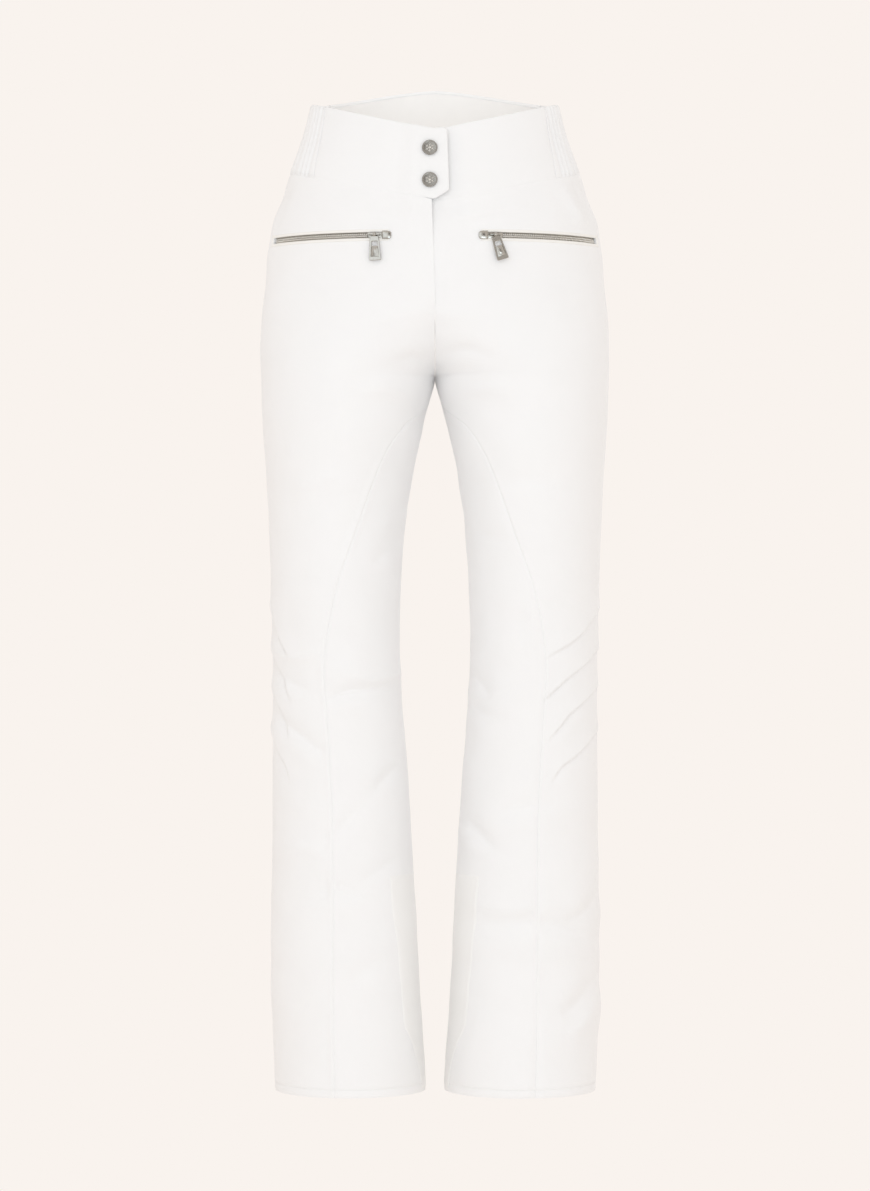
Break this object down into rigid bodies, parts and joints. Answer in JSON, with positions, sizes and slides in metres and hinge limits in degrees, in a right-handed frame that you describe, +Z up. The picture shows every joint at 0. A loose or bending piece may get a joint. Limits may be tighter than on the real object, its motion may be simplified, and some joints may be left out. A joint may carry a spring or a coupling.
{
  "type": "ski trousers",
  "caption": "Slim ski trousers with a high elastic-sided waistband, snap and zip fly, zipped hip pockets, shaped knee seams and snow gaiters.",
  "frame": {"origin": "middle of the waist opening, in the plane of symmetry, level with the middle of the front waistband's top edge", "axes": "+Z up along the hanging legs, front of the trousers towards -Y, the wearer's left towards +X"},
  "size_m": [0.3732, 0.2349, 1.079],
  "materials": {
    "shell": "matt white four-way stretch softshell, padded",
    "rib": "white softshell gathered on elastic",
    "lining": "plain off-white taffeta",
    "tape": "woven zip tape, warm white",
    "grip": "pale silicone gripper on elastic",
    "nickel": "satin nickel",
    "teeth": "polished metal teeth"
  },
  "bodies": {
    "hips_and_thighs": {"left_waistband_with_underlap": "shell", "right_waistband": "shell", "back_waistband": "shell", "waistband_facing": "lining", "left_elastic_side": "rib", "right_elastic_side": "rib", "upper_snap_stud": "nickel", "upper_snap_rivet": "nickel", "lower_snap_stud": "nickel", "lower_snap_rivet": "nickel", "fly_facing": "lining", "fly_shield": "lining", "fly_zip_left_half": "tape", "fly_zip_right_half": "tape", "left_front_panel": "shell", "left_inner_thigh_panel": "shell", "left_back_panel": "shell", "left_knee_darted_panel": "shell", "left_knee_inner_panel": "shell", "left_knee_back_panel": "shell", "left_pocket_bag": "lining", "left_pocket_upper_tape": "tape", "left_pocket_lower_tape": "tape", "left_pocket_upper_teeth": "teeth", "left_pocket_lower_teeth": "teeth", "right_front_panel": "shell", "right_inner_thigh_panel": "shell", "right_back_panel": "shell", "right_knee_darted_panel": "shell", "right_knee_inner_panel": "shell", "right_knee_back_panel": "shell", "right_pocket_bag": "lining", "right_pocket_upper_tape": "tape", "right_pocket_lower_tape": "tape", "right_pocket_upper_teeth": "teeth", "right_pocket_lower_teeth": "teeth"},
    "left_lower_leg": {"left_shin_outer_panel": "shell", "left_shin_inner_panel": "shell", "left_calf_panel": "shell", "left_hem_facing": "shell", "left_snow_gaiter": "lining", "left_gaiter_gripper": "grip"},
    "left_pocket_slider": {"left_pocket_slider": "nickel"},
    "left_pocket_pull": {"left_pocket_pull": "nickel"},
    "right_lower_leg": {"right_shin_outer_panel": "shell", "right_shin_inner_panel": "shell", "right_calf_panel": "shell", "right_hem_facing": "shell", "right_snow_gaiter": "lining", "right_gaiter_gripper": "grip"},
    "right_pocket_slider": {"right_pocket_slider": "nickel"},
    "right_pocket_pull": {"right_pocket_pull": "nickel"},
    "waistband_tab": {"waistband_tab": "shell", "upper_snap_cap": "nickel", "upper_snap_socket": "nickel", "lower_snap_cap": "nickel", "lower_snap_socket": "nickel"},
    "fly_slider": {"fly_slider": "nickel", "fly_pull": "nickel"}
  },
  "joints": [
    {"name": "waistband_tab_opens", "type": "hinge", "parent": "hips_and_thighs", "child": "waistband_tab", "pos_m": [-0.0354, -0.09526, -0.03111], "axis": [-0.0749, -0.1316, -0.9885], "range_deg": [0, 150]},
    {"name": "fly_zip_opens", "type": "slide", "parent": "hips_and_thighs", "child": "fly_slider", "axis": [0, -0.0338, -0.9994], "range_m": [0, 0.078]},
    {"name": "left_pocket_zip_opens", "type": "hinge", "parent": "hips_and_thighs", "child": "left_pocket_slider", "pos_m": [0.0379, 0.0458, -0.112], "axis": [0, 0, 1], "range_deg": [0, 48]},
    {"name": "left_pocket_pull_lifts", "type": "hinge", "parent": "left_pocket_slider", "child": "left_pocket_pull", "pos_m": [0.06352, -0.10409, -0.11135], "axis": [-0.9857, -0.1685, 0], "range_deg": [0, 160]},
    {"name": "left_knee_bends", "type": "hinge", "parent": "hips_and_thighs", "child": "left_lower_leg", "pos_m": [0.10575, -0.004, -0.548], "axis": [1, 0, 0], "range_deg": [0, 90], "deforming": ["left_knee_darted_panel", "left_knee_inner_panel", "left_knee_back_panel"]},
    {"name": "right_pocket_zip_opens", "type": "hinge", "parent": "hips_and_thighs", "child": "right_pocket_slider", "pos_m": [-0.0379, 0.0458, -0.112], "axis": [0, 0, -1], "range_deg": [0, 48]},
    {"name": "right_pocket_pull_lifts", "type": "hinge", "parent": "right_pocket_slider", "child": "right_pocket_pull", "pos_m": [-0.06352, -0.10409, -0.11135], "axis": [-0.9857, 0.1685, 0], "range_deg": [0, 160]},
    {"name": "right_knee_bends", "type": "hinge", "parent": "hips_and_thighs", "child": "right_lower_leg", "pos_m": [-0.10575, -0.004, -0.548], "axis": [1, 0, 0], "range_deg": [0, 90], "deforming": ["right_knee_darted_panel", "right_knee_inner_panel", "right_knee_back_panel"]}
  ]
}
